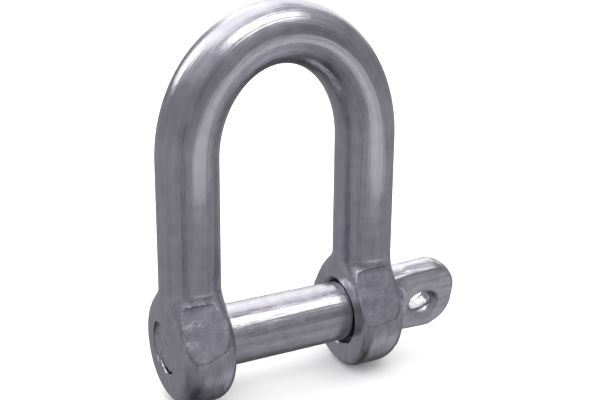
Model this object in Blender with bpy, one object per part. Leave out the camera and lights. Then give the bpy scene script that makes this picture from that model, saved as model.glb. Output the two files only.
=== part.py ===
# D shackle with a screw pin: a bent bar with two ears, and the pin that closes it.
# Frame: origin on the pin's axis, midway between the ears; +X towards the pin's head,
# +Z towards the crown, Y through the flat of the shackle. Metres.
import math

import bmesh
import bpy
from mathutils import Matrix

# Bar and crown
BAR_DIAMETER = 0.0098
EAR_GAP = 0.0224            # clear width between the ears' inner faces
LEG_SPLAY = 0.0009          # the clear width is this much less where the crown begins
LEG_LENGTH = 0.0302         # pin axis to where the crown begins
CROWN_RISE = 0.0183         # rise of the bar's middle above that

# Ears
EAR_THICKNESS = 0.0090
EAR_WALL = 0.0043           # metal round the tapped hole
EAR_OUTER_EDGE = 0.0034     # rounding round the rim of an ear's outer face
EAR_INNER_EDGE = 0.0020
NECK_RISE = 0.0052          # the round bar starts to spread this far above the ear's rim
NECK_BOTTOM = 0.0050        # pin axis to where it has spread
NECK_SPREAD = 0.0038        # what the spreading adds to the bar's depth
NECK_INSET = 0.0003         # the neck's sides lie this far inside the ear's faces
FLAT_DEPTH = 0.0009         # how far the flats are pressed into the ears' rims
FLAT_TILT = math.radians(35.0)      # the flats face this far above level, front and back
FLAT_SHOULDER = 0.0041      # from a flat's middle up to the step under the leg
INNER_COUNTERSINK = 0.0006
OUTER_COUNTERSINK = 0.0003

# Pin
PIN_DIAMETER = 0.0100
SHANK_CLEARANCE = 0.0003    # round the shank, in the plain ear
THREAD_CLEARANCE = 0.0003   # round the thread's crests, in the tapped ear
THREAD_PITCH = 0.0015
THREAD_DEPTH = 0.0008
THREAD_INSET = 0.0006       # the thread ends this far inside the ear's inner face
TIP_CHAMFER = 0.0007
TIP_RECESS = 0.0003         # the pin's end stops this far inside the ear's outer face

# Head
HEAD_LENGTH = 0.0135
HEAD_SEAT = 0.00025         # the head's root laps the hole's mouth by this much each side
HEAD_FLARE = 0.0006         # the far end is wider by this much each side
HEAD_THICKNESS = 0.0042
HEAD_CORNER = 0.0054        # the outline's two far corners
HEAD_EDGE = 0.0013          # rounding round the outline
HEAD_GAP = 0.0003           # head to ear when the pin is home
HEAD_TURN = math.radians(11.0)
ROOT_LENGTH = 0.0028        # the round shank fades into the flat head over this length
ROOT_INSET = 0.0002         # where the shank's sides end, inside the head's flats
EYE_LENGTH = 0.0044
EYE_WIDTH = 0.0034
EYE_LIP = 0.0014            # the eye opens out by this much at both flats
EYE_FROM_EAR = 0.0072       # ear's outer face to the eye's middle
EYE_DROP = 0.0009           # the eye's middle lies this far below the head's

# Fineness
BAR_SIDES = 28
EAR_SIDES = 48
PIN_SIDES = 32
LEG_STEPS = 12
CROWN_STEPS = 22
THREAD_STEPS_PER_TURN = 6
EDGE_STEPS = 4
CORNER_STEPS = 8

INNER_FACE = EAR_GAP / 2
OUTER_FACE = INNER_FACE + EAR_THICKNESS
EAR_MIDDLE = INNER_FACE + EAR_THICKNESS / 2
ROD_RADIUS = PIN_DIAMETER / 2
PLAIN_HOLE = ROD_RADIUS + SHANK_CLEARANCE
TAPPED_HOLE = ROD_RADIUS + THREAD_CLEARANCE
EAR_RADIUS = TAPPED_HOLE + EAR_WALL
NECK_TOP = EAR_RADIUS + NECK_RISE
CROWN_HALF_WIDTH = (EAR_GAP - LEG_SPLAY + BAR_DIAMETER) / 2
TIP_X = -OUTER_FACE + TIP_RECESS
THREAD_END = -INNER_FACE - THREAD_INSET
HEAD_X = OUTER_FACE + HEAD_GAP
HEAD_ROOT_WIDTH = 2 * (PLAIN_HOLE + OUTER_COUNTERSINK + HEAD_SEAT)
HEAD_END_WIDTH = HEAD_ROOT_WIDTH + 2 * HEAD_FLARE
CUT_MARGIN = 0.001          # cutters pass this far beyond what they cut
TOUCH = 1e-6                # points nearer than this lie in the same place


def clear_scene():
    for item in list(bpy.data.objects):
        bpy.data.objects.remove(item, do_unlink=True)


def steel(name, colour, roughness):
    material = bpy.data.materials.new(name)
    material.use_nodes = True
    shader = material.node_tree.nodes["Principled BSDF"]
    shader.inputs["Base Color"].default_value = (*colour, 1.0)
    shader.inputs["Metallic"].default_value = 1.0
    shader.inputs["Roughness"].default_value = roughness
    return material


def add_object(name, mesh, material=None):
    bmesh.ops.recalc_face_normals(mesh, faces=mesh.faces)
    data = bpy.data.meshes.new(name)
    mesh.to_mesh(data)
    mesh.free()
    data.shade_smooth()
    data.set_sharp_from_angle(angle=math.radians(32))
    if material:
        data.materials.append(material)
    item = bpy.data.objects.new(name, data)
    bpy.context.scene.collection.objects.link(item)
    return item


def make_guide(item):
    item.hide_render = True
    item.display_type = "WIRE"
    return item


def combine(item, other, operation):
    step = item.modifiers.new(other.name, "BOOLEAN")
    step.operation = operation
    step.solver = "EXACT"
    step.object = make_guide(other)


def rings_along(places, sides):
    # A closed bar: a unit circle carried through a list of matrices, each ring joined to the last.
    mesh = bmesh.new()
    bmesh.ops.create_circle(mesh, cap_ends=True, radius=1.0, segments=sides)
    bmesh.ops.transform(mesh, matrix=places[0], verts=mesh.verts)
    edges = list(mesh.edges)
    for before, after in zip(places, places[1:]):
        grown = bmesh.ops.extrude_edge_only(mesh, edges=edges)["geom"]
        ring = [part for part in grown if isinstance(part, bmesh.types.BMVert)]
        ring_set = set(ring)
        edges = [part for part in grown if isinstance(part, bmesh.types.BMEdge)
                 and part.verts[0] in ring_set and part.verts[1] in ring_set]
        bmesh.ops.transform(mesh, matrix=after @ before.inverted(), verts=ring)
    bmesh.ops.contextual_create(mesh, geom=edges)
    return mesh


def turned(profile, sides):
    # A solid of revolution about X, from (x, radius) points.
    mesh = bmesh.new()
    points = [mesh.verts.new((x, 0.0, radius)) for x, radius in profile]
    line = [mesh.edges.new(pair) for pair in zip(points, points[1:])]
    bmesh.ops.spin(mesh, geom=points + line, cent=(0, 0, 0), axis=(1, 0, 0), dvec=(0, 0, 0),
                   angle=math.tau, steps=sides, use_merge=True, use_duplicate=False)
    bmesh.ops.remove_doubles(mesh, verts=mesh.verts, dist=TOUCH)
    return mesh


def smooth_step(value):
    value = min(max(value, 0.0), 1.0)
    return value * value * (3.0 - 2.0 * value)


def bar_place(x, z, lean, side):
    # One ring of the bow, with the bar's direction leant over by lean about Y. In a leg, where
    # side is -1 or 1, the bar spreads front to back and thins into the ear below NECK_TOP.
    spread = smooth_step((NECK_TOP - z) / (NECK_TOP - NECK_BOTTOM)) if side else 0.0
    half_depth = (BAR_DIAMETER + spread * NECK_SPREAD) / 2
    half_width = BAR_DIAMETER / 2 + spread * (EAR_THICKNESS / 2 - NECK_INSET - BAR_DIAMETER / 2)
    return (Matrix.Translation((x, 0, z)) @ Matrix.Rotation(lean, 4, "Y")
            @ Matrix.Diagonal((half_width, half_depth, 1.0, 1.0)))


def bow_places():
    # From the tapped ear's middle up its leg, over the crown and down to the plain ear's middle.
    leg = []
    for step in range(LEG_STEPS):
        share = step / LEG_STEPS
        leg.append((EAR_MIDDLE + (CROWN_HALF_WIDTH - EAR_MIDDLE) * share, LEG_LENGTH * share))
    places = [bar_place(-x, z, 0.0, -1) for x, z in leg]
    for step in range(CROWN_STEPS + 1):
        angle = math.pi * step / CROWN_STEPS
        across, up = CROWN_HALF_WIDTH * math.sin(angle), CROWN_RISE * math.cos(angle)
        places.append(bar_place(-CROWN_HALF_WIDTH * math.cos(angle),
                                LEG_LENGTH + CROWN_RISE * math.sin(angle),
                                math.atan2(across, up), 0))
    places += [bar_place(x, z, math.pi, 1) for x, z in reversed(leg)]
    return places


def ear(name, side):
    # A disc about X with a rounded rim.
    mesh = bmesh.new()
    place = Matrix.Translation((side * EAR_MIDDLE, 0, 0)) @ Matrix.Rotation(math.pi / 2, 4, "Y")
    bmesh.ops.create_cone(mesh, cap_ends=True, segments=EAR_SIDES, radius1=EAR_RADIUS,
                          radius2=EAR_RADIUS, depth=EAR_THICKNESS, matrix=place)
    for face, edge_size in ((OUTER_FACE, EAR_OUTER_EDGE), (INNER_FACE, EAR_INNER_EDGE)):
        rim = [edge for edge in mesh.edges
               if all(abs(abs(end.co.x) - face) < TOUCH for end in edge.verts)]
        bmesh.ops.bevel(mesh, geom=rim, offset=edge_size, offset_type="OFFSET",
                        segments=EDGE_STEPS, profile=0.5, affect="EDGES", material=-1)
    return add_object(name, mesh)


def hole_cutter(name, side, radius):
    # Through one ear, opening out at both faces.
    inner_mouth = radius + INNER_COUNTERSINK + CUT_MARGIN
    outer_mouth = radius + OUTER_COUNTERSINK + CUT_MARGIN
    profile = [(INNER_FACE - CUT_MARGIN, 0.0), (INNER_FACE - CUT_MARGIN, inner_mouth),
               (INNER_FACE + INNER_COUNTERSINK, radius),
               (OUTER_FACE - OUTER_COUNTERSINK, radius),
               (OUTER_FACE + CUT_MARGIN, outer_mouth), (OUTER_FACE + CUT_MARGIN, 0.0)]
    return add_object(name, turned([(side * x, r) for x, r in profile], EAR_SIDES))


def flat_cutter(name, side, front):
    # A block that leans on one ear's rim: its inner face is the flat, its top face the step.
    width, height, length = EAR_THICKNESS + 2 * CUT_MARGIN, EAR_RADIUS, EAR_RADIUS + FLAT_SHOULDER
    mesh = bmesh.new()
    bmesh.ops.create_cube(mesh, size=1.0)
    bmesh.ops.scale(mesh, vec=(width, height, length), verts=mesh.verts)
    bmesh.ops.translate(mesh, verts=mesh.verts, vec=(
        side * EAR_MIDDLE, FLAT_DEPTH - EAR_RADIUS - height / 2, FLAT_SHOULDER - length / 2))
    turn = Matrix.Rotation(-FLAT_TILT, 4, "X")
    if not front:
        turn = Matrix.Rotation(math.pi, 4, "Z") @ turn @ Matrix.Scale(-1, 4, (1, 0, 0))
    bmesh.ops.transform(mesh, matrix=turn, verts=mesh.verts)
    return add_object(name, mesh)


def make_shackle_body(material):
    body = add_object("shackle_body", rings_along(bow_places(), BAR_SIDES), material)
    for name, side, hole_radius in (("tapped", -1, TAPPED_HOLE), ("plain", 1, PLAIN_HOLE)):
        combine(body, ear(name + "_ear", side), "UNION")
        combine(body, hole_cutter(name + "_hole", side, hole_radius), "DIFFERENCE")
        combine(body, flat_cutter(name + "_front_flat", side, True), "DIFFERENCE")
        combine(body, flat_cutter(name + "_back_flat", side, False), "DIFFERENCE")
    return body


def rod_place(x, radius, thickness):
    # One ring of the pin. thickness is the half size across the head's flats.
    return (Matrix.Translation((x, 0, 0)) @ Matrix.Rotation(HEAD_TURN, 4, "X")
            @ Matrix.Rotation(math.pi / 2, 4, "Y") @ Matrix.Diagonal((radius, thickness, 1.0, 1.0)))


def thread_depth(x, turn):
    # How deep the thread's groove is at x and at the angle turn about the pin.
    phase = (x - TIP_X) / THREAD_PITCH - turn / math.tau
    runout = min((x - TIP_X) / TIP_CHAMFER, (THREAD_END - x) / THREAD_PITCH, 1.0)
    return THREAD_DEPTH * max(runout, 0.0) * (0.5 - 0.5 * math.cos(math.tau * phase))


def rod():
    # The turned part: chamfered tip, thread, shank, and a root that flattens into the head.
    places = [rod_place(TIP_X, ROD_RADIUS - TIP_CHAMFER, ROD_RADIUS - TIP_CHAMFER)]
    thread_start = TIP_X + TIP_CHAMFER
    thread_steps = round(THREAD_STEPS_PER_TURN * (THREAD_END - thread_start) / THREAD_PITCH)
    for step in range(thread_steps + 1):
        x = thread_start + (THREAD_END - thread_start) * step / thread_steps
        places.append(rod_place(x, ROD_RADIUS, ROD_RADIUS))
    for step in range(EDGE_STEPS + 1):
        share = step / EDGE_STEPS
        thickness = ROD_RADIUS + smooth_step(share) * (HEAD_THICKNESS / 2 - ROOT_INSET - ROD_RADIUS)
        places.append(rod_place(HEAD_X + ROOT_LENGTH * share, ROD_RADIUS, thickness))
    mesh = rings_along(places, PIN_SIDES)
    for point in mesh.verts:
        y, z = point.co.y, point.co.z
        if TIP_X < point.co.x < THREAD_END:
            factor = 1.0 - thread_depth(point.co.x, math.atan2(z, y)) / math.hypot(y, z)
            point.co.y, point.co.z = y * factor, z * factor
    return mesh


def head():
    # A flat tongue that widens away from the ear, with two round corners at its far end.
    mesh = bmesh.new()
    root, end = HEAD_X, HEAD_X + HEAD_LENGTH
    outline = [(root, -HEAD_ROOT_WIDTH / 2), (end, -HEAD_END_WIDTH / 2),
               (end, HEAD_END_WIDTH / 2), (root, HEAD_ROOT_WIDTH / 2)]
    corners = [mesh.verts.new((x, -HEAD_THICKNESS / 2, z)) for x, z in outline]
    face = mesh.faces.new(corners)
    grown = bmesh.ops.extrude_face_region(mesh, geom=[face])["geom"]
    bmesh.ops.translate(mesh, vec=(0, HEAD_THICKNESS, 0),
                        verts=[part for part in grown if isinstance(part, bmesh.types.BMVert)])
    far = [edge for edge in mesh.edges
           if all(abs(point.co.x - end) < TOUCH for point in edge.verts)
           and abs(edge.verts[0].co.z - edge.verts[1].co.z) < TOUCH]
    bmesh.ops.bevel(mesh, geom=far, offset=HEAD_CORNER, offset_type="OFFSET", segments=CORNER_STEPS,
                    profile=0.5, affect="EDGES", material=-1)
    rim = [edge for edge in mesh.edges
           if abs(edge.verts[0].co.y - edge.verts[1].co.y) < TOUCH
           and not all(abs(point.co.x - root) < TOUCH for point in edge.verts)]
    bmesh.ops.bevel(mesh, geom=rim, offset=HEAD_EDGE, offset_type="OFFSET", segments=EDGE_STEPS,
                    profile=0.5, affect="EDGES", material=-1)
    bmesh.ops.rotate(mesh, cent=(0, 0, 0), matrix=Matrix.Rotation(HEAD_TURN, 3, "X"),
                     verts=mesh.verts)
    return mesh


def eye_cutter():
    # An oval hole through the head, opening out at both flats.
    reach, mouth = HEAD_THICKNESS / 2 + CUT_MARGIN, 0.5 + (EYE_LIP + CUT_MARGIN) / EYE_WIDTH
    waist = HEAD_THICKNESS / 2 - EYE_LIP
    mesh = turned([(-reach, 0.0), (-reach, mouth), (-waist, 0.5), (waist, 0.5), (reach, mouth),
                   (reach, 0.0)], PIN_SIDES)
    place = (Matrix.Rotation(HEAD_TURN, 4, "X")
             @ Matrix.Translation((OUTER_FACE + EYE_FROM_EAR, 0, -EYE_DROP))
             @ Matrix.Diagonal((EYE_LENGTH, 1.0, EYE_WIDTH, 1.0))
             @ Matrix.Rotation(math.pi / 2, 4, "Z"))
    bmesh.ops.transform(mesh, matrix=place, verts=mesh.verts)
    return mesh


def make_screw_pin(material):
    pin = add_object("screw_pin", rod(), material)
    combine(pin, add_object("head_tongue", head()), "UNION")
    combine(pin, add_object("head_eye", eye_cutter()), "DIFFERENCE")
    return pin


clear_scene()
make_shackle_body(steel("polished_bar", (0.36, 0.36, 0.40), 0.24))
make_screw_pin(steel("turned_pin", (0.55, 0.55, 0.60), 0.18))
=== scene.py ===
# A D shackle with a screw pin, in polished stainless steel.
import math

import bmesh
import bpy
from mathutils import Matrix, Vector, noise


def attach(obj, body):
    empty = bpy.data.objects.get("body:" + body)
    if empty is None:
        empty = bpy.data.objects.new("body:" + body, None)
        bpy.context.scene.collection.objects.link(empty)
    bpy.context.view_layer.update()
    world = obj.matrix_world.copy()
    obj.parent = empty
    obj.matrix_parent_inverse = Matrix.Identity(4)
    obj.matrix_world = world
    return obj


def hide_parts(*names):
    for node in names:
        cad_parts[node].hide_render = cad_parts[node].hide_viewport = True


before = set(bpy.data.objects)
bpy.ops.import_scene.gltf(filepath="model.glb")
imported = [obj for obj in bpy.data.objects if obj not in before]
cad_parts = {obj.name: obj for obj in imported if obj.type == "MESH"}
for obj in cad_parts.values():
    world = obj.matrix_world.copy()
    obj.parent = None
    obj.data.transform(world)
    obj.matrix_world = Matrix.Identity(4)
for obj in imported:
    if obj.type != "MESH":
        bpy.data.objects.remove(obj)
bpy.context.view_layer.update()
mm = 0.001
hair = 0.001 * mm              # points closer than this are one point
spare = 1.0 * mm               # how far a cutter reaches past a surface
sharpAngle = math.radians(30)  # corners sharper than this stay crisp


# used by both pieces

def smoothStep(value):
    value = min(max(value, 0.0), 1.0)
    return value * value * (3 - 2 * value)


def mixFields(a, b, size):
    # two shapes run together, with a fillet of about this size between them
    share = max(size - abs(a - b), 0.0) / size
    return min(a, b) - share * share * size / 4


def roundEdge(out, along, edge):
    # a rim between a side at 'out' and a face at 'along', rounded to 'edge'
    out, along = out + edge, along + edge
    return min(max(out, along), 0.0) + math.hypot(max(out, 0.0), max(along, 0.0)) - edge


def pullOut(start, direction, field, reach=20 * mm, halvings=22):
    # from inside a shape, along a straight line to its surface
    low, high = 0.0, reach
    for step in range(halvings):
        middle = (low + high) / 2
        if field(start + direction * middle) < 0:
            low = middle
        else:
            high = middle
    return start + direction * low


def loft(places, sides):
    # a bar laid ring by ring: the circle is extruded from each place to the next
    mesh = bmesh.new()
    bmesh.ops.create_circle(mesh, cap_ends=True, radius=1.0, segments=sides)
    bmesh.ops.transform(mesh, matrix=places[0], verts=mesh.verts)
    mesh.verts.ensure_lookup_table()
    rings, edges = [list(mesh.verts)], list(mesh.edges)
    for before, after in zip(places, places[1:]):
        grown = bmesh.ops.extrude_edge_only(mesh, edges=edges)["geom"]
        ring = [part for part in grown if isinstance(part, bmesh.types.BMVert)]
        known = set(ring)
        edges = [part for part in grown if isinstance(part, bmesh.types.BMEdge)
                 and part.verts[0] in known and part.verts[1] in known]
        bmesh.ops.transform(mesh, matrix=after @ before.inverted(), verts=ring)
        rings.append(ring)
    bmesh.ops.contextual_create(mesh, geom=edges)
    return mesh, rings


def fillMesh(data, mesh):
    # the worked mesh goes into the piece, smooth but for its sharp corners
    mesh.to_mesh(data)
    mesh.free()
    data.shade_smooth()
    data.set_sharp_from_angle(angle=sharpAngle)


def addPiece(name, mesh):
    bmesh.ops.recalc_face_normals(mesh, faces=mesh.faces)
    data = bpy.data.meshes.new(name)
    fillMesh(data, mesh)
    piece = bpy.data.objects.new(name, data)
    bpy.context.scene.collection.objects.link(piece)
    return piece


def cutWith(piece, cutters):
    for cutter in cutters:
        step = piece.modifiers.new("cut", "BOOLEAN")
        step.operation = "DIFFERENCE"
        step.solver = "EXACT"
        step.object = cutter
    depsgraph = bpy.context.evaluated_depsgraph_get()
    data = bpy.data.meshes.new_from_object(piece.evaluated_get(depsgraph))
    piece.modifiers.clear()
    piece.data = data
    for cutter in cutters:
        bpy.data.objects.remove(cutter, do_unlink=True)


def evenShading(piece):
    step = piece.modifiers.new("even shading", "WEIGHTED_NORMAL")
    step.keep_sharp = True


def turned(profile, sides, grow=0.0):
    # a profile of (x, radius) points spun about the X axis; its ends lie on the axis
    mesh = bmesh.new()
    points = [mesh.verts.new((x, 0, radius + grow)) for x, radius in profile]
    line = [mesh.edges.new(pair) for pair in zip(points, points[1:])]
    bmesh.ops.spin(mesh, geom=points + line, cent=(0, 0, 0), axis=(1, 0, 0), dvec=(0, 0, 0),
                   angle=2 * math.pi, steps=sides, use_merge=True, use_duplicate=False)
    bmesh.ops.remove_doubles(mesh, verts=mesh.verts, dist=hair)
    return mesh


thread = {
    "pitch": 1.5 * mm,
    "depth": 0.85 * mm,
    "crest": 0.14,             # shares of the pitch that the crest and the root take
    "root": 0.12,
    "gap": 0.06 * mm,          # between the pin's thread and the ear's
    "ringsPerTurn": 12,
    "sides": 160,
}


def threadGroove(x, angle):
    # 0 on the crest and 1 in the root of a right-hand thread about X
    turn = x / thread["pitch"] - angle / (2 * math.pi)
    fromCrest = abs(2 * (turn - math.floor(turn)) - 1)
    return smoothStep((fromCrest - thread["crest"]) / (1 - thread["crest"] - thread["root"]))


def threadStations(low, high):
    count = round((high - low) / thread["pitch"] * thread["ringsPerTurn"])
    return [low + (high - low) * index / count for index in range(count + 1)]


def ringAt(x):
    return Matrix.Translation((x, 0, 0)) @ Matrix.Rotation(math.pi / 2, 4, "Y")


# the bow: a bent bar whose ends are forged into ears

bow = {
    "bar": 4.9 * mm,           # radius of the round bar
    "legTop": 30.2 * mm,       # pin axis to where the crown begins
    "crownHalf": 15.65 * mm,   # half width of the crown, at the bar's middle
    "crownRise": 18.3 * mm,
    "sides": 112,
    "legRings": 24,
    "crownRings": 96,
}

ears = {
    "inner": 11.2 * mm,        # inner face from the middle of the jaw
    "thickness": 9.0 * mm,
    "neckTop": 10.4 * mm,
    "neckBottom": 5.6 * mm,
    "neckSpread": 1.4 * mm,    # added to the bar's half depth
    "neckInset": -0.2 * mm,
    "blend": 1.4 * mm,         # the fillet between neck and ear
    "neckRings": 50,
    "bottomRings": 36,
    # hand finishing left the two ears a little different: rounding of the rims' outer and inner
    # edges, and how deep each flat is pressed, how far up and sideways it faces, and how far
    # above its middle it ends in a step under the leg
    "tapped": {"radius": 9.6 * mm, "drop": 0.0, "outer": 3.0 * mm, "inner": 2.8 * mm,
               "depth": 0.85 * mm, "tilt": math.radians(32), "yaw": math.radians(9),
               "shoulder": 4.5 * mm},
    "plain": {"radius": 9.45 * mm, "drop": 0.3 * mm, "outer": 4.0 * mm, "inner": 1.4 * mm,
              "depth": 0.95 * mm, "tilt": math.radians(32), "yaw": math.radians(3),
              "shoulder": 5.0 * mm},
}

flats = {
    "stepRound": 0.35 * mm,    # the foot of the step under the leg, and the strips that round it
    "stepStrips": 6,
    "reach": 14.0 * mm,        # how wide the press is, and how many cells it has each way
    "cells": 32,
    "dents": 0.05 * mm,        # how uneven they are, and how many dents there are in a metre
    "dentScale": 480.0,
    "wear": 0.5,               # how far their borders are smoothed at each step
    "wearSteps": 2,
    "merge": 0.03 * mm,        # points nearer than this become one
    "weld": 0.20 * mm,         # points nearer than this to a flat's border move onto it
}

holes = {
    "plain": 5.5 * mm,
    "plainDrop": 0.25 * mm,    # the pin rests high in the plain hole
    "plainInner": 0.3 * mm,    # countersinks
    "plainOuter": 0.3 * mm,
    "tappedInner": 0.35 * mm,
    "tappedLip": 4.7 * mm,     # the thread stops short of the outer face, behind a plain lip
    "lipDepth": 0.5 * mm,
    "sides": 96,
}

outerFace = ears["inner"] + ears["thickness"]
earMiddle = ears["inner"] + ears["thickness"] / 2


def earOf(side):
    return ears["plain"] if side > 0 else ears["tapped"]


def legMiddle(z):
    return earMiddle + (bow["crownHalf"] - earMiddle) * z / bow["legTop"]


def legField(point, side):
    # the bar spreads front to back, and flattens sideways, as it comes down to the ear
    spread = smoothStep((ears["neckTop"] - point.z) / (ears["neckTop"] - ears["neckBottom"]))
    deep = bow["bar"] + spread * ears["neckSpread"]
    wide = bow["bar"] + spread * (ears["thickness"] / 2 - ears["neckInset"] - bow["bar"])
    across = point.x - side * legMiddle(point.z)
    return (math.hypot(across / wide, point.y / deep) - 1) * min(wide, deep)


def earField(point, side):
    ear, outward = earOf(side), (point.x - side * earMiddle) * side
    return roundEdge(math.hypot(point.y, point.z + ear["drop"]) - ear["radius"],
                     abs(outward) - ears["thickness"] / 2,
                     ear["outer"] if outward > 0 else ear["inner"])


def forgingField(point, side):
    if point.z < 0:
        return earField(point, side)
    return mixFields(legField(point, side), earField(point, side), ears["blend"])


def ringPlace(x, z, lean):
    size = bow["bar"]
    return (Matrix.Translation((x, 0, z)) @ Matrix.Rotation(lean, 4, "Y")
            @ Matrix.Diagonal((size, size, 1, 1)))


def earStations(side):
    # (middle, how far the ring's rays dip) from the ear's lowest point up to the round bar
    count = ears["bottomRings"]
    low = [(Vector((side * earMiddle, 0, 0)), math.pi / 2 * (1 - index / count))
           for index in range(1, count)]
    heights = [ears["neckTop"] * index / ears["neckRings"] for index in range(ears["neckRings"] + 1)]
    return low + [(Vector((side * legMiddle(z), 0, z)), 0.0) for z in heights]


def bowPlaces():
    places = []
    for index in range(1, bow["legRings"]):
        z = ears["neckTop"] + (bow["legTop"] - ears["neckTop"]) * index / bow["legRings"]
        places.append(ringPlace(-legMiddle(z), z, 0.0))
    for index in range(bow["crownRings"] + 1):
        angle = math.pi * index / bow["crownRings"]
        lean = math.atan2(bow["crownHalf"] * math.sin(angle), bow["crownRise"] * math.cos(angle))
        places.append(ringPlace(-bow["crownHalf"] * math.cos(angle),
                                bow["legTop"] + bow["crownRise"] * math.sin(angle), lean))
    for index in range(1, bow["legRings"]):
        z = bow["legTop"] - (bow["legTop"] - ears["neckTop"]) * index / bow["legRings"]
        places.append(ringPlace(legMiddle(z), z, math.pi))
    return places


def forgeEar(rings, stations, side):
    # every point of the ear and neck moves out from the middle to the forging's surface
    for ring, (middle, dip) in zip(rings, stations):
        for point in ring:
            level = Vector((point.co.x - middle.x, point.co.y, 0)).normalized()
            direction = level * math.cos(dip) - Vector((0, 0, math.sin(dip)))
            point.co = pullOut(middle, direction, lambda place: forgingField(place, side))


def makeBow():
    left, right = earStations(-1), earStations(1)
    places = [ringPlace(middle.x, middle.z, 0.0) for middle, dip in left] + bowPlaces()
    places += [ringPlace(middle.x, middle.z, math.pi) for middle, dip in reversed(right)]
    mesh, rings = loft(places, bow["sides"])
    forgeEar(rings, left, -1)
    forgeEar(reversed(rings), right, 1)
    return addPiece("shackleBow", mesh)


pressedIndex = 1               # marks the flats' faces until the finish is laid on


def flatPlace(side, front):
    # a flat's own place: its middle lies at the origin, y inwards and z up the flat
    ear, facing = earOf(side), 1 if front else -1
    return (Matrix.Translation((side * earMiddle, 0, -ear["drop"]))
            @ Matrix.Rotation(0 if front else math.pi, 4, "Z")
            @ Matrix.Rotation(-ear["tilt"], 4, "X")
            @ Matrix.Translation((0, ear["depth"] - ear["radius"], 0))
            @ Matrix.Rotation(-facing * ear["yaw"], 4, "Z"))


def flatCutter(side, front):
    # presses one uneven flat, and leaves a step under the leg
    reach, cells, top = flats["reach"], flats["cells"], earOf(side)["shoulder"]
    mesh = bmesh.new()
    bmesh.ops.create_cube(mesh, size=reach)
    bmesh.ops.translate(mesh, vec=(0, -reach / 2, top - reach / 2), verts=mesh.verts)
    foot = [edge for edge in mesh.edges
            if all(point.co.z > top - hair and point.co.y > -hair for point in edge.verts)]
    bmesh.ops.bevel(mesh, geom=foot, offset=flats["stepRound"], offset_type="OFFSET",
                    segments=flats["stepStrips"], profile=0.5, affect="EDGES", material=-1)
    for step in range(1, cells):
        middle = Vector((reach * (step / cells - 0.5), 0, top - reach * step / cells))
        for across in ((1, 0, 0), (0, 0, 1)):
            bmesh.ops.bisect_plane(mesh, geom=mesh.verts[:] + mesh.edges[:] + mesh.faces[:],
                                   dist=hair, plane_co=middle, plane_no=across)
    bmesh.ops.transform(mesh, matrix=flatPlace(side, front), verts=mesh.verts)
    inwards = flatPlace(side, front).to_3x3() @ Vector((0, 1, 0))
    for point in mesh.verts:
        point.co += inwards * noise.noise(point.co * flats["dentScale"]) * flats["dents"]
    for face in mesh.faces:
        face.material_index = pressedIndex
    return addPiece("flatCutter", mesh)


def plainCutter():
    low, high = ears["inner"], outerFace
    radius, inner, outer = holes["plain"], holes["plainInner"], holes["plainOuter"]
    profile = [(low - spare, 0.0), (low - spare, radius + inner + spare), (low + inner, radius),
               (high - outer, radius), (high + spare, radius + outer + spare), (high + spare, 0.0)]
    mesh = turned(profile, holes["sides"])
    bmesh.ops.translate(mesh, vec=(0, 0, -holes["plainDrop"]), verts=mesh.verts)
    return addPiece("plainCutter", mesh)


def tappedCutter():
    # cuts the ear's own thread, which the pin's thread fills
    low, high = -outerFace - spare, -ears["inner"] + spare
    mesh, rings = loft([ringAt(x) for x in threadStations(low, high)], thread["sides"])
    for ring in rings:
        for point in ring:
            x, angle = point.co.x, math.atan2(point.co.z, point.co.y)
            radius = pin["radius"] + thread["gap"] - thread["depth"] * threadGroove(x, angle)
            radius = max(radius, pin["radius"] + holes["tappedInner"] + x + ears["inner"])
            radius = min(radius, holes["tappedLip"] + max(0.0, x + outerFace - holes["lipDepth"]))
            point.co = (x, radius * math.cos(angle), radius * math.sin(angle))
    return addPiece("tappedCutter", mesh)


def inOrder(points):
    # a cut leaves its points in a chance order, which the welds below would follow
    return sorted(points, key=lambda point: point.co[:])


def flatBorder(mesh):
    return [edge for edge in mesh.edges
            if len({face.material_index for face in edge.link_faces}) > 1]


def softenFlats(piece):
    # the flats' borders are worn a little round
    mesh = bmesh.new()
    mesh.from_mesh(piece.data)
    bmesh.ops.remove_doubles(mesh, verts=inOrder(mesh.verts), dist=flats["merge"])
    kept = {point for edge in flatBorder(mesh) for point in edge.verts}
    near = [point for point in mesh.verts if point not in kept and point.co.z < ears["neckTop"]]
    moved = bmesh.ops.find_doubles(mesh, verts=inOrder(near) + inOrder(kept),
                                   keep_verts=inOrder(kept), dist=flats["weld"])["targetmap"]
    joined = {point: onto for point, onto in moved.items()
              if any(edge.other_vert(point) is onto for edge in point.link_edges)}
    bmesh.ops.weld_verts(mesh, targetmap=joined)
    bare = [edge for edge in mesh.edges if not edge.link_faces]
    bmesh.ops.delete(mesh, geom=bare, context="EDGES")
    bmesh.ops.holes_fill(mesh, edges=[edge for edge in mesh.edges if edge.is_boundary])
    border = {point for edge in flatBorder(mesh) for point in edge.verts}
    for step in range(flats["wearSteps"]):
        bmesh.ops.smooth_vert(mesh, verts=inOrder(border), factor=flats["wear"],
                              use_axis_x=True, use_axis_y=True, use_axis_z=True)
    print("flats worn,", len(border), "points on their borders")
    fillMesh(piece.data, mesh)


# the screw pin, turned, threaded, and pressed flat at its head

pin = {
    "radius": 5.0 * mm,
    "recess": 0.3 * mm,        # its end lies this far inside the ear's outer face
    "tipRound": 1.1 * mm,
    "noseRings": (0.0, 0.01 * mm, 0.04 * mm, 0.08 * mm),
    "nose": 0.13 * mm,         # after those, the thread's own rings start this far in
    "threadShort": 0.6 * mm,   # the thread ends this far inside the ear
    "runOut": 0.9 * mm,
    "shankRings": 40,
    "shoulder": 0.3 * mm,      # the shank's even rings stop this far before the head
    "shoulderEnd": 0.02 * mm,  # and one more lies this near it
}

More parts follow.
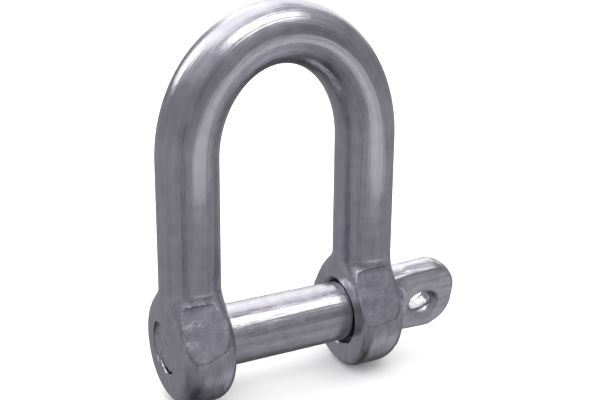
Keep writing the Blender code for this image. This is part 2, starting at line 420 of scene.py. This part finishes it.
head = {
    "gap": 0.3 * mm,
    "length": 13.5 * mm,
    "rootHalf": 5.85 * mm,
    "endHalf": 6.45 * mm,
    "halfThick": 2.1 * mm,
    "corner": 5.4 * mm,
    "edge": 0.4 * mm,
    "crown": 5.5 * mm,         # how round the narrow edges still are, as pressed from a round bar
    "rootEdge": 0.4 * mm,
    "turn": math.radians(11),
    "rootLength": 3.4 * mm,    # the round shank fades into the flat head over this length
    "blend": 2.2 * mm,
    "rootThin": 0.8,           # the shank's share of the head's thickness where it fades out
    "rootNarrow": 0.5 * mm,
    "crowd": 2.4,              # points crowd this much towards the head's narrow edges
    "crowdLength": 3.0 * mm,   # growing over this length
    "rings": 44,
    "ringCrowd": 1.6,          # and rings towards its root
    "endRings": 30,
}

eye = {
    "fromEar": 7.2 * mm,
    "drop": 0.9 * mm,
    "length": 4.4 * mm,
    "width": 3.4 * mm,
    "lip": 1.4 * mm,
    "lipSteps": 7,
    "lipAngle": math.radians(80),
    "sides": 72,
}

headRoot = outerFace + head["gap"]
headEnd = headRoot + head["length"]


def tongueField(point):
    # y is through the flat head, z across it, before it is turned
    share = (point.x - headRoot) / head["length"]
    half = head["rootHalf"] + (head["endHalf"] - head["rootHalf"]) * share
    corner = head["corner"]
    along, across = point.x - (headEnd - corner), abs(point.z) - (half - corner)
    outline = (math.hypot(max(along, 0.0), max(across, 0.0)) + min(max(along, across), 0.0) - corner)
    outline += point.y ** 2 / (2 * head["crown"])
    tongue = roundEdge(outline, abs(point.y) - head["halfThick"], head["edge"])
    return roundEdge(tongue, headRoot - point.x, head["rootEdge"])


def rootField(point):
    # the shank goes on into the head, growing flat
    share = smoothStep((point.x - headRoot) / head["rootLength"])
    thick = pin["radius"] + share * (head["halfThick"] * head["rootThin"] - pin["radius"])
    wide = pin["radius"] - share * head["rootNarrow"]
    shape = (math.hypot(point.y / thick, point.z / wide) - 1) * min(thick, wide)
    return max(shape, point.x - (headEnd - head["corner"]))


def pinField(point):
    if point.x < headRoot:
        return math.hypot(point.y, point.z) - pin["radius"]
    return mixFields(tongueField(point), rootField(point), head["blend"])


def makePin():
    tip = -outerFace + pin["recess"]
    threadEnd = -ears["inner"] - pin["threadShort"]
    steps = pin["shankRings"]
    low, high = threadEnd + pin["runOut"], headRoot - pin["shoulder"]
    plain = [low + (high - low) * index / steps for index in range(1, steps + 1)]
    plain.append(headRoot - pin["shoulderEnd"])
    middle = headEnd - head["corner"]
    wide = [headRoot + (middle - headRoot) * (index / head["rings"]) ** head["ringCrowd"]
            for index in range(head["rings"] + 1)]
    nose = [tip + step for step in pin["noseRings"]]
    stations = [(x, 0.0) for x in nose + threadStations(tip + pin["nose"], low) + plain + wide]
    stations += [(middle, math.pi / 2 * index / head["endRings"])
                 for index in range(1, head["endRings"])]
    mesh, rings = loft([ringAt(x) for x, dip in stations], thread["sides"])
    for ring, (x, dip) in zip(rings, stations):
        crowd = 1 + (head["crowd"] - 1) * smoothStep((x - headRoot) / head["crowdLength"])
        for point in ring:
            level = Vector((0, point.co.y, point.co.z * crowd)).normalized()
            if x < low:
                point.co = Vector((x, 0, 0)) + level * threadedRadius(x, level, tip, threadEnd)
                continue
            direction = level * math.cos(dip) + Vector((math.sin(dip), 0, 0))
            point.co = pullOut(Vector((x, 0, 0)), direction, pinField)
    turn = Matrix.Rotation(head["turn"], 4, "X")
    beyondThread = [point for ring, (x, dip) in zip(rings, stations) if x >= low for point in ring]
    bmesh.ops.transform(mesh, matrix=turn, verts=beyondThread)
    piece = addPiece("screwPin", mesh)
    cutWith(piece, [eyeCutter(turn)])
    return piece


def threadedRadius(x, level, tip, end):
    groove = thread["depth"] * threadGroove(x, math.atan2(level.z, level.y))
    fade = smoothStep((end + pin["runOut"] - x) / pin["runOut"])
    radius = pin["radius"] - groove * fade
    left = max(pin["tipRound"] - (x - tip), 0.0)
    return radius - pin["tipRound"] + math.sqrt(pin["tipRound"] ** 2 - left ** 2)


def eyeCutter(turn):
    # an oval hole whose mouths are rounded over
    half, lip = head["halfThick"], eye["lip"]
    mouth = []
    for index in range(eye["lipSteps"] + 1):
        angle = eye["lipAngle"] * index / eye["lipSteps"]
        mouth.append((half - lip + lip * math.sin(angle), lip * (1 - math.cos(angle))))
    mouth.append((half + spare, mouth[-1][1] + spare * math.tan(eye["lipAngle"])))
    profile = [(-x, grow) for x, grow in reversed(mouth)] + mouth
    axis = -(eye["width"] + eye["length"]) / 4
    mesh = turned([(profile[0][0], axis)] + profile + [(profile[-1][0], axis)], eye["sides"], -axis)
    stretch = (eye["length"] - eye["width"]) / 4
    for point in mesh.verts:      # the turned hole becomes an oval, longer along the head
        level = Vector((point.co.y, point.co.z))
        if level.length > hair:
            point.co.y += stretch * level.x / level.length
            point.co.z -= stretch * level.y / level.length
    place = (turn @ Matrix.Translation((outerFace + eye["fromEar"], 0, -eye["drop"]))
             @ Matrix.Rotation(math.pi / 2, 4, "Z"))
    bmesh.ops.transform(mesh, matrix=place, verts=mesh.verts)
    return addPiece("eyeCutter", mesh)


# what the two pieces are made of

def straighten(point):
    # the bent bar laid straight: across it, through it, and along it from the left ear
    if point.z <= bow["legTop"]:
        side = 1 if point.x > 0 else -1
        across, along = point.x - side * legMiddle(point.z), bow["legTop"] - point.z
        total = math.pi * (bow["crownHalf"] + bow["crownRise"]) / 2
        return Vector((side * across, point.y, -along if side < 0 else total + along))
    rise = point.z - bow["legTop"]
    angle = math.atan2(rise / bow["crownRise"], -point.x / bow["crownHalf"])
    middle = Vector((-bow["crownHalf"] * math.cos(angle), bow["crownRise"] * math.sin(angle)))
    outward = Vector((-bow["crownRise"] * math.cos(angle), bow["crownHalf"] * math.sin(angle)))
    across = (Vector((point.x, rise)) - middle).dot(outward.normalized())
    return Vector((across, point.y, angle * (bow["crownHalf"] + bow["crownRise"]) / 2))


def markBow(piece):
    points = [point.co.copy() for point in piece.data.vertices]
    straight = piece.data.attributes.new("straightBar", "FLOAT_VECTOR", "POINT")
    for index, point in enumerate(points):
        straight.data[index].vector = straighten(point)
    pressed = piece.data.attributes.new("pressed", "FLOAT", "POINT")
    for face in piece.data.polygons:
        if face.material_index == pressedIndex:
            for index in face.vertices:
                pressed.data[index].value = 1.0
            face.material_index = 0


def node(tree, kind, settings=None, **inputs):
    # an input is given by its name, or as n0, n1 and so on by its place
    made = tree.nodes.new(kind)
    for name, value in (settings or {}).items():
        setattr(made, name, value)
    for name, value in inputs.items():
        slot = made.inputs[int(name[1:]) if name[1:].isdigit() else name]
        if isinstance(value, bpy.types.NodeSocket):
            tree.links.new(value, slot)
        else:
            slot.default_value = value
    return made


steel = {                      # what the two finishes have in common
    "grainDetail": 6.0,
    "grainRoughness": 0.6,
    "patchDetail": 3.0,
    "patchRoughness": 0.5,
    "toneFrom": 0.6,           # the streaks and clouds, added up, that are darkest and palest
    "toneTo": 1.4,
    "shineFrom": 0.3,          # the clouds that shine most and least
    "shineTo": 0.7,
    "grainDeep": 0.045 * mm,
    "streakDeep": 0.15 * mm,
}


def makeSteel(name, look, place):
    material = bpy.data.materials.new(name)
    material.use_nodes = True
    tree = material.node_tree
    shader = tree.nodes["Principled BSDF"]
    shader.inputs["Metallic"].default_value = 1.0
    where = place(tree)
    long = node(tree, "ShaderNodeMapping", Vector=where, Scale=look["grainShape"]).outputs[0]
    grain = node(tree, "ShaderNodeTexNoise", Vector=long, Scale=look["grainScale"],
                 Detail=steel["grainDetail"], Roughness=steel["grainRoughness"]).outputs[0]
    streak = node(tree, "ShaderNodeTexNoise", Vector=long, Scale=look["streakScale"],
                  Detail=steel["patchDetail"], Roughness=steel["patchRoughness"]).outputs[0]
    cloud = node(tree, "ShaderNodeTexNoise", Vector=where, Scale=look["cloudScale"],
                 Detail=steel["patchDetail"], Roughness=steel["patchRoughness"]).outputs[0]
    blotches = node(tree, "ShaderNodeMath", {"operation": "ADD"}, n0=streak, n1=cloud).outputs[0]
    share = node(tree, "ShaderNodeMapRange", Value=blotches, n1=steel["toneFrom"],
                 n2=steel["toneTo"]).outputs[0]
    tone = node(tree, "ShaderNodeMix", {"data_type": "RGBA"}, Factor=share)
    tone.inputs[6].default_value = (*look["darkTone"], 1.0)
    tone.inputs[7].default_value = (*look["paleTone"], 1.0)
    tree.links.new(tone.outputs[2], shader.inputs["Base Color"])
    shine = node(tree, "ShaderNodeMapRange", Value=cloud, n1=steel["shineFrom"],
                 n2=steel["shineTo"], n3=look["roughLow"], n4=look["roughHigh"]).outputs[0]
    tree.links.new(shine, shader.inputs["Roughness"])
    lines = node(tree, "ShaderNodeBump", Height=grain, Strength=look["grainBump"],
                 Distance=steel["grainDeep"])
    waves = node(tree, "ShaderNodeBump", Height=streak, Strength=look["streakBump"],
                 Distance=steel["streakDeep"], Normal=lines.outputs[0])
    tree.links.new(waves.outputs[0], shader.inputs["Normal"])
    return material, tree, shader, where


barLook = {
    "grainShape": (1.0, 1.0, 0.03),
    "grainScale": 3400.0,
    "streakScale": 900.0,
    "cloudScale": 420.0,
    "darkTone": (0.49, 0.48, 0.53),
    "paleTone": (0.69, 0.68, 0.73),
    "roughLow": 0.10,
    "roughHigh": 0.20,
    "grainBump": 1.0,
    "streakBump": 0.5,
    "pressedTone": (0.78, 0.78, 0.79),    # the flats are duller than the polished bar
    "mottleScale": 900.0,
    "mottleDetail": 4.0,
    "mottleRoughness": 0.55,
    "mottleBump": 0.35,
    "mottleDeep": 0.08 * mm,
}

pinLook = {
    "grainShape": (0.03, 1.0, 1.0),
    "grainScale": 4200.0,
    "streakScale": 900.0,
    "cloudScale": 420.0,
    "darkTone": (0.50, 0.49, 0.53),
    "paleTone": (0.74, 0.73, 0.77),
    "roughLow": 0.12,
    "roughHigh": 0.22,
    "grainBump": 1.0,
    "streakBump": 0.8,
}


def alongBar(tree):
    # places on the bar as if it were straight
    return node(tree, "ShaderNodeAttribute", {"attribute_name": "straightBar"}).outputs["Vector"]


def onPiece(tree):
    # the pin is straight already
    return node(tree, "ShaderNodeTexCoord").outputs["Object"]


def polishedBar():
    # lengthwise polishing marks that follow the bend, and a mottle on the pressed flats
    material, tree, shader, where = makeSteel("polishedBar", barLook, alongBar)
    pressed = node(tree, "ShaderNodeAttribute", {"attribute_name": "pressed"}).outputs["Fac"]
    mottle = node(tree, "ShaderNodeTexNoise", Vector=where, Scale=barLook["mottleScale"],
                  Detail=barLook["mottleDetail"], Roughness=barLook["mottleRoughness"]).outputs[0]
    only = node(tree, "ShaderNodeMath", {"operation": "MULTIPLY"}, n0=mottle, n1=pressed).outputs[0]
    polished = shader.inputs["Base Color"].links[0].from_socket
    dull = node(tree, "ShaderNodeMix", {"data_type": "RGBA", "blend_type": "MULTIPLY"}, Factor=pressed)
    tree.links.new(polished, dull.inputs[6])
    dull.inputs[7].default_value = (*barLook["pressedTone"], 1.0)
    tree.links.new(dull.outputs[2], shader.inputs["Base Color"])
    under = shader.inputs["Normal"].links[0].from_socket
    dents = node(tree, "ShaderNodeBump", Height=only, Strength=barLook["mottleBump"],
                 Distance=barLook["mottleDeep"], Normal=under)
    tree.links.new(dents.outputs[0], shader.inputs["Normal"])
    return material


def turnedPin():
    return makeSteel("turnedPin", pinLook, onPiece)[0]


# the room: a pale floor, soft lights, and what the steel reflects

camera = {
    "azimuth": math.radians(-28.78),
    "elevation": math.radians(18.80),
    "roll": math.radians(0.574),
    "distance": 177.8 * mm,
    "target": Vector((3.77 * mm, 0, 20.92 * mm)),
    "lens": 66.37,
    "sensor": 36.0,
    "nearest": 10 * mm,
}

room = {
    "floorHalf": 3.0,
    "floorHeight": -9.85 * mm,
    "floorTone": (0.93, 0.93, 0.93),
    "floorRoughness": 0.9,
    "ambient": 1.35,
    "wallLight": 0.33,         # the walls' usual light, which the patches add to or take from
    # how light the walls are, from straight down at 0 past eye level at 0.5 to straight up at 1
    "surroundings": [(0.0, 0.05), (0.03, 0.08), (0.075, 0.19), (0.17, 0.26), (0.42, 0.33),
                     (0.5, 0.26), (0.70, 0.28), (0.80, 0.45), (1.0, 0.6)],
    "tint": (1.0, 0.985, 1.06),
}

# a softbox: where it stands from the shackle, its width and height, and how bright it looks;
# azimuths are measured from the camera's, anticlockwise seen from above
softboxes = {
    "top": {"azimuth": -130, "elevation": 62, "distance": 0.6, "size": (0.70, 0.55), "glow": 1.0},
    "key": {"azimuth": 42, "elevation": 61, "distance": 0.6, "size": (0.56, 0.23), "glow": 2.4},
    "window": {"azimuth": -115, "elevation": 30, "distance": 0.6, "size": (0.20, 0.26), "glow": 2.4},
    "back": {"azimuth": 178, "elevation": 26, "distance": 0.8, "size": (0.8, 0.70), "glow": 0.95},
}

# paler and darker parts of the room: azimuth, elevation, half width, soft edge (degrees), light
patches = [
    (100, -60, 14, 18, 0.28),
    (38, 20, 6, 10, 0.07),
    (75, -40, 8, 12, 0.10),
    (8, 18, 6, 10, -0.10),
    (66, 10, 5, 10, -0.12),
    (-72, -45, 8, 14, -0.12),
    (167, -47, 14, 16, -0.20),
]

# cards that only the steel sees: a pale one on the floor, and a dark one behind the camera
cards = {
    "floorCard": {"azimuth": 50, "distance": 0.195, "height": -9.8 * mm, "size": (0.16, 0.19),
                  "glow": 0.65, "stands": False},
    "darkCard": {"azimuth": -13, "distance": 0.5, "height": -0.12, "size": (0.06, 0.36),
                 "glow": 0.07, "stands": True},
}


def bearing(azimuth, elevation):
    return Vector((math.sin(azimuth) * math.cos(elevation), -math.cos(azimuth) * math.cos(elevation),
                   math.sin(elevation)))


def outFrom(azimuth, elevation):
    # a direction from the shackle, in degrees round from the camera and up from the floor
    return bearing(camera["azimuth"] + math.radians(azimuth), math.radians(elevation))


def addCamera():
    back = bearing(camera["azimuth"], camera["elevation"])
    right = Vector((math.cos(camera["azimuth"]), math.sin(camera["azimuth"]), 0))
    up = back.cross(right)
    turn = Matrix((right, up, back)).transposed() @ Matrix.Rotation(camera["roll"], 3, "Z")
    data = bpy.data.cameras.new("camera")
    data.lens, data.sensor_width = camera["lens"], camera["sensor"]
    data.clip_start = camera["nearest"]
    lookout = bpy.data.objects.new("camera", data)
    lookout.matrix_world = (Matrix.Translation(camera["target"] + back * camera["distance"])
                            @ turn.to_4x4())
    bpy.context.scene.collection.objects.link(lookout)
    bpy.context.scene.camera = lookout


def addSoftbox(name, box):
    out = outFrom(box["azimuth"], box["elevation"])
    data = bpy.data.lights.new(name, "AREA")
    data.shape = "RECTANGLE"
    data.size, data.size_y = box["size"]
    data.energy = box["glow"] * math.pi * data.size * data.size_y
    lamp = bpy.data.objects.new(name, data)
    lamp.location = camera["target"] + out * box["distance"]
    lamp.rotation_euler = out.to_track_quat("Z", "Y").to_euler()
    lamp.visible_camera = False
    bpy.context.scene.collection.objects.link(lamp)


def addCard(name, card):
    mesh = bmesh.new()
    bmesh.ops.create_grid(mesh, x_segments=1, y_segments=1, size=0.5)
    bmesh.ops.scale(mesh, vec=(*card["size"], 1), verts=mesh.verts)
    if card["stands"]:
        bmesh.ops.rotate(mesh, matrix=Matrix.Rotation(math.pi / 2, 3, "X"), verts=mesh.verts)
    bmesh.ops.translate(mesh, vec=(0, -card["distance"], card["height"]), verts=mesh.verts)
    turn = Matrix.Rotation(camera["azimuth"] + math.radians(card["azimuth"]), 3, "Z")
    bmesh.ops.rotate(mesh, matrix=turn, verts=mesh.verts)
    piece = addPiece(name, mesh)
    material = bpy.data.materials.new(name)
    material.use_nodes = True
    tree = material.node_tree
    tree.nodes.clear()
    glow = node(tree, "ShaderNodeEmission", Strength=card["glow"]).outputs[0]
    node(tree, "ShaderNodeOutputMaterial", Surface=glow)
    piece.data.materials.append(material)
    piece.visible_camera = piece.visible_diffuse = piece.visible_shadow = False


def addSurroundings():
    # an even light on the floor; the steel reflects grey walls that darken downwards
    world = bpy.data.worlds.new("surroundings")
    world.use_nodes = True
    bpy.context.scene.world = world
    tree = world.node_tree
    tree.nodes.clear()
    outward = node(tree, "ShaderNodeTexCoord").outputs["Generated"]
    upward = node(tree, "ShaderNodeSeparateXYZ", Vector=outward).outputs["Z"]
    share = node(tree, "ShaderNodeMapRange", Value=upward, n1=-1.0, n2=1.0).outputs[0]
    ramp = node(tree, "ShaderNodeValToRGB", Fac=share)
    stops = ramp.color_ramp.elements
    for place, light in room["surroundings"][1:-1]:
        stops.new(place)
    for stop, (place, light) in zip(stops, room["surroundings"]):
        stop.position = place
        stop.color = (*[light * tint for tint in room["tint"]], 1.0)
    light = 1.0
    for azimuth, elevation, wide, soft, change in patches:
        towards = node(tree, "ShaderNodeVectorMath", {"operation": "DOT_PRODUCT"}, n0=outward,
                       n1=outFrom(azimuth, elevation)).outputs["Value"]
        spot = node(tree, "ShaderNodeMapRange", {"interpolation_type": "SMOOTHSTEP"}, Value=towards,
                    n1=math.cos(math.radians(wide + soft)), n2=math.cos(math.radians(wide)),
                    n3=0.0, n4=change / room["wallLight"]).outputs[0]
        light = node(tree, "ShaderNodeMath", {"operation": "ADD"}, n0=light, n1=spot).outputs[0]
    walls = node(tree, "ShaderNodeBackground", Color=ramp.outputs[0], Strength=light).outputs[0]
    even = node(tree, "ShaderNodeBackground", Color=(1, 1, 1, 1), Strength=room["ambient"]).outputs[0]
    glossy = node(tree, "ShaderNodeLightPath").outputs["Is Glossy Ray"]
    both = node(tree, "ShaderNodeMixShader", n0=glossy, n1=even, n2=walls).outputs[0]
    node(tree, "ShaderNodeOutputWorld", Surface=both)


def addFloor():
    mesh = bmesh.new()
    bmesh.ops.create_grid(mesh, x_segments=1, y_segments=1, size=room["floorHalf"])
    bmesh.ops.translate(mesh, vec=(0, 0, room["floorHeight"]), verts=mesh.verts)
    floor = addPiece("floor", mesh)
    material = bpy.data.materials.new("paleFloor")
    material.use_nodes = True
    shader = material.node_tree.nodes["Principled BSDF"]
    shader.inputs["Base Color"].default_value = (*room["floorTone"], 1.0)
    shader.inputs["Roughness"].default_value = room["floorRoughness"]
    shader.inputs["Specular IOR Level"].default_value = 0.0
    floor.data.materials.append(material)
    floor.visible_glossy = False


addCamera()
addSurroundings()
for name, box in softboxes.items():
    addSoftbox(name, box)
for name, card in cards.items():
    addCard(name, card)
addFloor()
print("room ready")

body = makeBow()
print("bow forged,", len(body.data.vertices), "points")
cutWith(body, [flatCutter(side, front) for side in (-1, 1) for front in (True, False)]
        + [plainCutter(), tappedCutter()])
softenFlats(body)
markBow(body)
body.data.materials.append(polishedBar())
evenShading(body)
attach(body, "shackle")
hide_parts("shackle_body")
print("bow ready,", len(body.data.polygons), "faces")

screw = makePin()
screw.data.materials.append(turnedPin())
evenShading(screw)
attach(screw, "pin")
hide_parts("screw_pin")
print("pin ready,", len(screw.data.polygons), "faces")

bpy.context.scene.view_settings.view_transform = "Standard"
